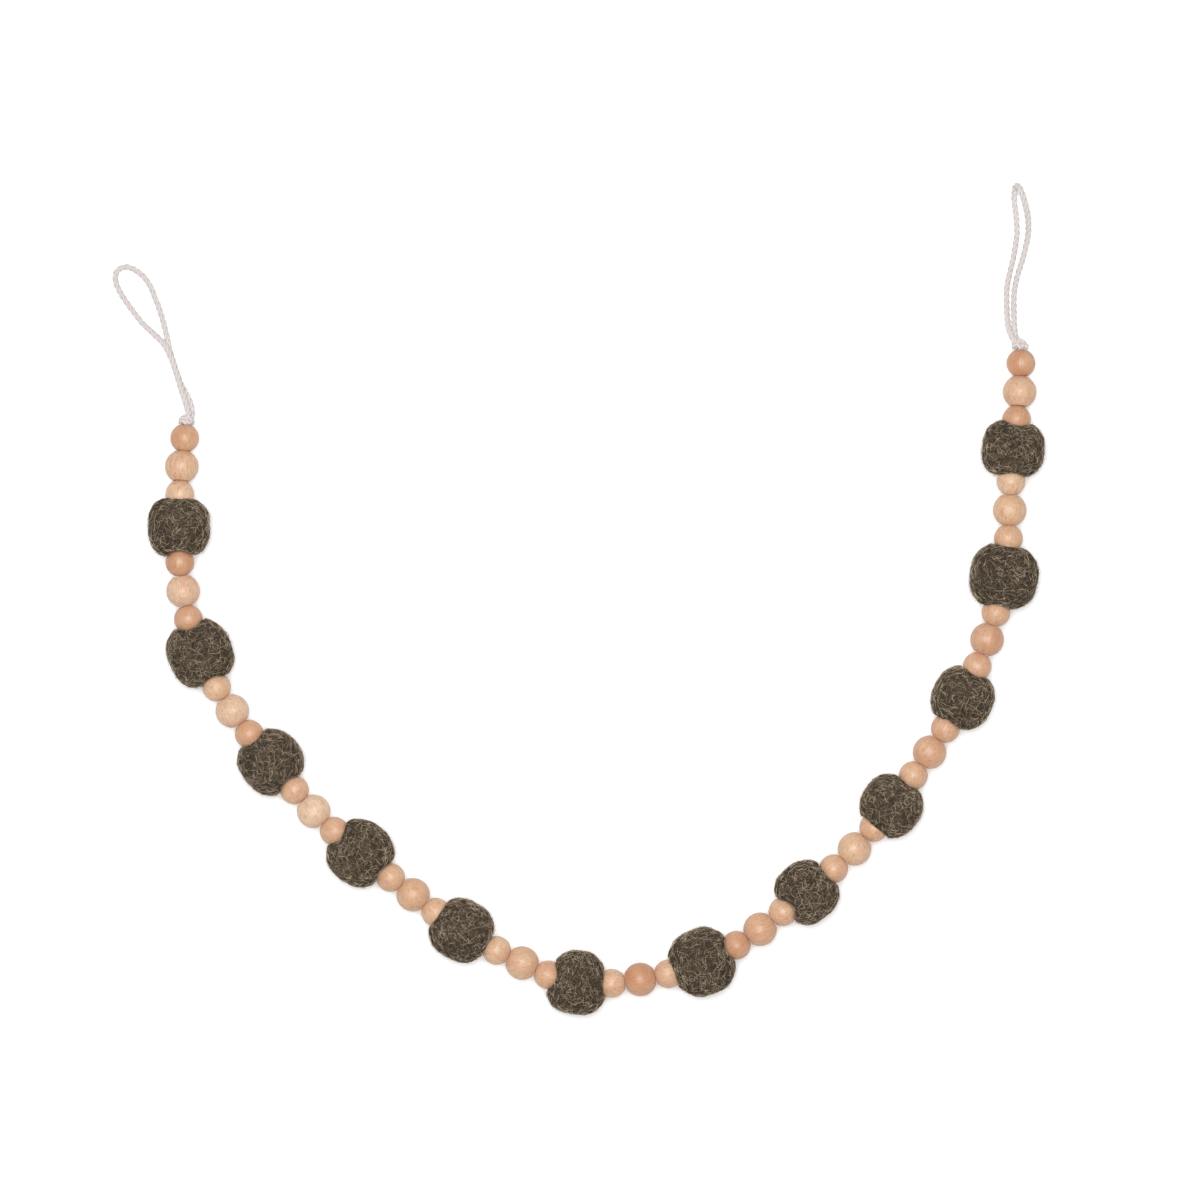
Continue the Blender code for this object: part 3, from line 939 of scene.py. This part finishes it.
def felt_material():
    """Matted grey-brown wool, with shade painted into the creases round the beads."""
    material, shader, start = new_material("wool_felt", {
        "Roughness": 0.95,
        "Specular IOR Level": 0.05,
    })
    place = start.node("TexCoord", {}, out="Object")
    tuck = start.node("Attribute", {"attribute_name": "tuck"}, out="Fac")
    worn = place.cloud(95.0, 1.0).between(0.42, 0.64)
    blotches = place.cloud(240.0, 2.0, 0.6).between(0.38, 0.62)
    web = matted_lines(place, 680.0, 0.10, (0.3, 0.1, 0.7))
    fuzz = matted_lines(place, 1000.0, 0.13, (0.9, 0.5, 0.2))
    ground = blotches.mix((0.030, 0.023, 0.016, 1.0), (0.046, 0.036, 0.025, 1.0))
    fuzzy = (fuzz * (worn * 0.40 + 0.35)).mix(ground, (0.112, 0.086, 0.060, 1.0))
    haired = (web * 0.50).mix(fuzzy, (0.160, 0.122, 0.083, 1.0))
    # Painted shade: the felt turns nearly black in the crease round each bead.
    colour = (tuck * 0.75).mix(haired, (0.012, 0.008, 0.005, 1.0))
    relief = web + fuzz * 0.5
    bump = relief.node("Bump", {}, {"Height": relief, "Strength": 1.0, "Distance": 0.00025})
    plug(shader, Base_Color=colour, Normal=bump)
    return material


def hair_material(name, colour):
    """One tone of the loose hairs."""
    material, _, _ = new_material(name, {
        "Base Color": colour,
        "Roughness": 0.8,
        "Specular IOR Level": 0.25,
    })
    return material


FELT = felt_material()
HAIR_COLOURS = {
    "pale_hair": (0.750, 0.600, 0.430, 1.0),
    "tan_hair": (0.350, 0.260, 0.170, 1.0),
    "dark_hair": (0.040, 0.029, 0.019, 1.0),
}
HAIR_TONES = [hair_material(name, colour) for name, colour in HAIR_COLOURS.items()]
print(f"made felt and {len(HAIR_TONES)} tones of loose hair")

# %% [markdown]
# ## Felt balls
#
# A felt ball is rolled by hand, so no two are alike: some are nearly square, one is a
# bulb. Each starts as the same sphere of small even triangles, made once. A copy is
# pushed out to its own rounded block, given soft lumps, and pressed in by the bead at
# each end, with a lip of felt swelling round it. Where it rests, it goes flat.

# %% One sphere to start every ball from
BALL_SUBDIVISIONS = 6
let_go()
bpy.ops.mesh.primitive_ico_sphere_add(subdivisions=BALL_SUBDIVISIONS, radius=1.0)
sphere = bpy.context.object
sphere.name = "pattern_ball"
outward = corners_of(sphere.data)
print(f"sphere: {len(sphere.data.polygons)} faces")

# %% Lumps, lips and dimples
# How far each ball's two dimples lie open, from 0, where felt laps over the bead, to 1.
BALL_MOUTHS = [
    (0.45, 0.90), (0.80, 0.70), (0.60, 0.90), (0.70, 0.80), (0.05, 0.15), (0.70, 0.40),
    (0.20, 0.80), (0.90, 0.50), (0.10, 0.40), (0.30, 0.50), (0.40, 0.10), (0.30, 0.80),
]
BALL_SHARE = 0.965             # a ball's size before its lumps, to the size of its solid
ROUND_EXPONENT = 2.0           # a ball's own power is this when it is quite round,
BOXY_EXPONENT = 2.0            # and this much more when it is quite boxy
LUMPS = ((170.0, 0.00040), (480.0, 0.00020))    # how many to a metre, and how high
LIP_HEIGHT = 0.00035
LIP_RADIUS = 0.0078
LIP_WIDTH = 0.0018
LIP_DEPTH = 0.0040             # how far a lip reaches along the cord
PRESS_SOFTNESS = 0.0012
FELT_GAP = 0.00010
OPEN_WIDENING = 0.75           # how much less an open dimple closes above its bead
EDGE_REACH = 0.0053            # past this radius, a dimple's wall goes on at one slope
# The painted shade in the creases round the beads reaches this far out.
CREASE_SHADE_REACH = 0.0030            # how far the dark crease round a bead spreads
BALL_SEED = 21
LUMP_SPREAD = 100.0            # the lumps of each ball start anywhere in a block this wide
print(f"lips of felt {LIP_HEIGHT * 1000:.2f} mm high round each dimple")


# %% Press a bead into felt
def soft_largest(first, second, softness):
    """The larger of two values, with the change between them rounded."""
    share = np.clip(0.5 + 0.5 * (first - second) / softness, 0.0, 1.0)
    return second + (first - second) * share + softness * share * (1 - share)


def in_frame(points, place):
    """Points as seen from a place."""
    back = np.array(place.inverted())
    return points @ back[:3, :3].T + back[:3, 3]


def out_of_frame(points, place):
    """Points given in a place's own directions, put into the world."""
    there = np.array(place)
    return points @ there[:3, :3].T + there[:3, 3]


def press_bead(points, bead):
    """Press a bead into the felt: nothing stays inside it or over it."""
    bead_place, side, mouth = bead
    spots = in_frame(points, bead_place)
    radius = BEAD_SIZES["small"][0] / 2 + FELT_GAP
    half = TURNED_LENGTHS["small"] / 2 + FELT_GAP
    spread = np.hypot(spots[:, 1], spots[:, 2] * (1 - OPEN_WIDENING * mouth))
    ring = np.hypot(spots[:, 1], spots[:, 2])
    depth = side * spots[:, 0]
    lip = LIP_HEIGHT * np.exp(-((ring - LIP_RADIUS) / LIP_WIDTH) ** 2)
    depth -= lip * np.exp(-((depth - half / 2) / LIP_DEPTH) ** 2)
    edge = math.sqrt(radius ** 2 - EDGE_REACH ** 2)
    slope = EDGE_REACH / edge
    inside = np.sqrt(np.maximum(radius ** 2 - np.minimum(spread, EDGE_REACH) ** 2, 0.0))
    limit = np.minimum(inside, half) - np.maximum(spread - EDGE_REACH, 0.0) * slope
    depth = soft_largest(depth, limit, PRESS_SOFTNESS)
    spots[:, 0] = side * depth
    return out_of_frame(spots, bead_place)


# %% The surface of a ball
def lumpiness(points, seed):
    """Soft lumps at each point, in metres."""
    heights = np.zeros(len(points))
    for scale, height in LUMPS:
        spots = points * scale + seed
        heights += height * np.array([noise.noise(Vector(spot)) for spot in spots])
    return heights


def felt_points(ball, directions, lift=0.0):
    """Points on a ball's surface for directions out of its middle."""
    sizes = ball["sizes"]
    exponent = ROUND_EXPONENT + BOXY_EXPONENT * sizes["boxy"]
    reach = (np.abs(directions) ** exponent).sum(axis=1) ** (-1 / exponent)
    points = directions * reach[:, None]
    points[:, 0] *= 1 - sizes["swell"] * points[:, 1]
    points *= np.array([sizes["along"], sizes["across"], sizes["tall"]]) / 2 * BALL_SHARE
    points[:, 0] += sizes["shift"]
    raised = lumpiness(points, ball["seed"]) + lift
    points += directions * raised[:, None]
    points = out_of_frame(points, ball["place"])
    for bead in ball["beads"]:
        points = press_bead(points, bead)
    points[:, 2] = np.maximum(points[:, 2], 0.0)
    return points


def shade_near_beads(ball, points):
    """How much shade is painted on the felt: 1 where it touches a bead, fading to 0 a little way
    out of the dimple.
    """
    share = np.zeros(len(points))
    for bead_place, _, _ in ball["beads"]:
        off = np.linalg.norm(points - np.array(bead_place.translation), axis=1)
        share = np.maximum(share, 1 - (off - BEAD_SIZES["small"][0] / 2) / CREASE_SHADE_REACH)
    return np.clip(share, 0.0, 1.0)


# %% Make the twelve balls
def add_felt_ball(ball):
    """One felt ball in the place of its solid."""
    data = sphere.data.copy()
    surface = felt_points(ball, outward)
    set_corners(data, surface)
    # Store the painted shade of the creases round the beads.
    store_numbers(data, "tuck", shade_near_beads(ball, surface))
    data.shade_smooth()
    name = ball["node"].replace("felt_ball", "wool_ball")
    new_piece(name, data, FELT, [ball["node"]])


ball_dice = random.Random(BALL_SEED)
balls = []
for index, (node, kind, sizes) in enumerate(pieces):
    if kind == "felt":
        mouths = BALL_MOUTHS[len(balls)]
        beads = [
            (places[index + step], -step, mouth) for step, mouth in zip((-1, 1), mouths)
        ]
        seed = np.array([ball_dice.uniform(0, LUMP_SPREAD) for _ in range(3)])
        balls.append({
            "node": node, "sizes": sizes, "place": places[index], "beads": beads, "seed": seed,
        })
for ball in balls:
    add_felt_ball(ball)
print(f"{len(balls)} felt balls shaped")

# %% [markdown]
# ## Loose hairs
#
# Up close, the surface of felt is a web of curling hairs, and a few stand off it, which
# is why its outline looks soft. One straight three-sided hair is modelled, with cuts
# across it where it can bend. Copies of it are then laid along wandering paths over each
# ball. Most lie down on the felt, and some lift at one tip. With thousands of hairs on a
# ball, one joined mesh is far lighter than an object for each.

# %% One hair to copy
HAIR_CUTS = 2
let_go()
bpy.ops.mesh.primitive_cylinder_add(vertices=3, radius=1.0, depth=1.0)
hair = bpy.context.object
hair.name = "pattern_hair"
bpy.ops.object.mode_set(mode="EDIT")
for cut in range(1, HAIR_CUTS + 1):
    bpy.ops.mesh.select_all(action="SELECT")
    bpy.ops.mesh.bisect(plane_co=(0, 0, cut / (HAIR_CUTS + 1) - 0.5), plane_no=(0, 0, 1))
bpy.ops.object.mode_set(mode="OBJECT")
hair_corners = corners_of(hair.data)
hair_levels = np.rint((hair_corners[:, 2] + 0.5) * (HAIR_CUTS + 1)).astype(int)
hair_faces = [list(face.vertices) for face in hair.data.polygons]
print(f"hair: {len(hair_faces)} faces")

# %% Paths for the hairs of a ball
HAIRS_PER_BALL = 2390
HAIR_LENGTH = (0.0016, 0.0044)
HAIR_CURL = 0.20                # how much a hair turns at each cut, in radians
HAIR_WANDER = 0.26              # how much that changes from cut to cut
HAIR_ARCH = (0.00002, 0.00018)  # how high a hair's middle stands off the felt
HAIR_SINK = 0.00002             # how deep its ends go in, and how high it keeps off the floor
STRAY_SHARE = 0.16
STRAY_LIFT = 0.0010             # how high a stray hair's tip can rise
STRAY_RANGE = (0.3, 1.0)        # the least and most of that height
MEAN_RADIUS = 0.013             # of a ball, to turn a hair's length into an angle


def hair_paths(ball, dice):
    """Wandering paths over a ball, as hairs x levels x 3."""
    count = HAIRS_PER_BALL
    levels = HAIR_CUTS + 2
    spot = dice.normal(size=(count, 3))
    spot /= np.linalg.norm(spot, axis=1)[:, None]
    heading = dice.normal(size=(count, 3))
    curl = dice.normal(0, HAIR_CURL, size=count)
    step = dice.uniform(*HAIR_LENGTH, size=count) / (levels - 1) / MEAN_RADIUS
    steps = []
    for _ in range(levels):
        steps.append(spot)
        heading = heading - spot * (heading * spot).sum(axis=1)[:, None]
        heading /= np.linalg.norm(heading, axis=1)[:, None]
        sideways = np.cross(spot, heading)
        turn = curl + dice.normal(0, HAIR_WANDER, size=count)
        heading = heading * np.cos(turn)[:, None] + sideways * np.sin(turn)[:, None]
        spot = spot + heading * step[:, None]
        spot = spot / np.linalg.norm(spot, axis=1)[:, None]
    directions = np.stack(steps, axis=1)
    share = np.linspace(0, 1, levels)[None, :]
    stray = (dice.uniform(size=count) < STRAY_SHARE) * dice.uniform(*STRAY_RANGE, size=count)
    arch = dice.uniform(*HAIR_ARCH, size=(count, 1)) * np.sin(math.pi * share)
    lift = arch + STRAY_LIFT * stray[:, None] * share ** 2 - HAIR_SINK
    points = felt_points(ball, directions.reshape(-1, 3), lift.ravel())
    return points.reshape(count, levels, 3), directions


# %% Lay the hairs
HAIR_RADIUS = (0.00003, 0.00007)
HAIR_TAPER = (0.08, 0.92)       # the part of a half wave that its thickness follows
HAIR_SHARES = (0.38, 0.46, 0.16)    # how many are pale, tan and dark
HAIR_SEED = 5
NEVER_ZERO = 1e-12              # keeps a division by a length sound


def add_hairs(ball, dice):
    """The loose hairs of one ball, as one piece."""
    paths, directions = hair_paths(ball, dice)
    along = np.gradient(paths, axis=1)
    along /= np.linalg.norm(along, axis=2)[:, :, None] + NEVER_ZERO
    turn = np.array(ball["place"])[:3, :3]
    away = directions @ turn.T
    across = np.cross(along, away)
    across /= np.linalg.norm(across, axis=2)[:, :, None] + NEVER_ZERO
    away = np.cross(across, along)
    count = len(paths)
    taper = np.sqrt(np.sin(math.pi * np.linspace(*HAIR_TAPER, paths.shape[1])))
    radius = dice.uniform(*HAIR_RADIUS, size=(count, 1)) * taper[None, :]
    level = hair_levels
    corners = paths[:, level] + radius[:, level, None] * (
        across[:, level] * hair_corners[None, :, :1] + away[:, level] * hair_corners[None, :, 1:2]
    )
    corners[:, :, 2] = np.maximum(corners[:, :, 2], HAIR_SINK)
    faces = [
        [corner + number * len(hair_corners) for corner in face]
        for number in range(count) for face in hair_faces
    ]
    name = ball["node"].replace("felt_ball", "loose_hairs")
    data = bpy.data.meshes.new(name)
    data.from_pydata(corners.reshape(-1, 3).tolist(), [], faces)
    data.shade_smooth()
    new_piece(name, data, HAIR_TONES[0])
    for tone in HAIR_TONES[1:]:
        data.materials.append(tone)
    tones = dice.choice(len(HAIR_TONES), size=count, p=HAIR_SHARES)
    data.polygons.foreach_set("material_index", np.repeat(tones, len(hair_faces)))
    return len(faces)


hair_dice = np.random.default_rng(HAIR_SEED)
laid = sum(add_hairs(ball, hair_dice) for ball in balls)
for pattern in (sphere, hair):
    bpy.data.objects.remove(pattern)
print(f"{HAIRS_PER_BALL} hairs on each ball, {laid} faces in all")

# %% [markdown]
# ## Surface and light
#
# The garland lies on a plain white sheet. One large soft lamp hangs above it, so the
# beads are brightest in the middle and darker towards their sides, and an even sky
# fills in the shadows until they are only just there. The sheet glows faintly of its
# own, as a light table does.

# %% Floor, lamp and sky
FLOOR_SIDE = 6.0
FLOOR_DROP = 0.0001            # keeps the sheet just below what rests on it
LAMP_PLACE = Vector((-0.10, 0.25, 3.5))
LAMP_SIDE = 1.5
LAMP_POWER = 145.0
SKY_STRENGTH = 0.10
SHEET_GLOW = 0.30

let_go()
bpy.ops.mesh.primitive_plane_add(size=FLOOR_SIDE, location=(0.0, 0.0, -FLOOR_DROP))
floor = bpy.context.object
floor.name = "white_sheet"
sheet, _, _ = new_material("white_sheet", {
    "Base Color": (0.80, 0.80, 0.80, 1.0),
    "Roughness": 1.0,
    "Specular IOR Level": 0.0,
    "Emission Color": (1.0, 1.0, 1.0, 1.0),
    "Emission Strength": SHEET_GLOW,
})
floor.data.materials.append(sheet)
floor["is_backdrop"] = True

lamp_data = bpy.data.lights.new("softbox", "AREA")
lamp_data.shape = "SQUARE"
lamp_data.size = LAMP_SIDE
lamp_data.energy = LAMP_POWER
lamp = bpy.data.objects.new("softbox", lamp_data)
lamp.location = LAMP_PLACE
lamp.rotation_euler = (-LAMP_PLACE).to_track_quat("-Z", "Y").to_euler()
bpy.context.scene.collection.objects.link(lamp)

sky = bpy.data.worlds.new("sky")
sky.use_nodes = True
sky.node_tree.nodes["Background"].inputs["Color"].default_value = (1.0, 1.0, 1.0, 1.0)
sky.node_tree.nodes["Background"].inputs["Strength"].default_value = SKY_STRENGTH
bpy.context.scene.world = sky
bpy.context.scene.view_settings.view_transform = "Standard"
print(f"one lamp {LAMP_SIDE} m wide at {LAMP_PLACE.z} m, and an even sky")

# %% [markdown]
# ## Finish
#
# The box of the solids and the box of everything made here are kept side by side.

# %% Sizes, and finish
made_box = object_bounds()
sizes = {
    "solid": [list(corner) for corner in solid_box],
    "made": [list(corner) for corner in made_box],
}
print(f"solid box {sizes['solid']}")
print(f"made box {sizes['made']}")
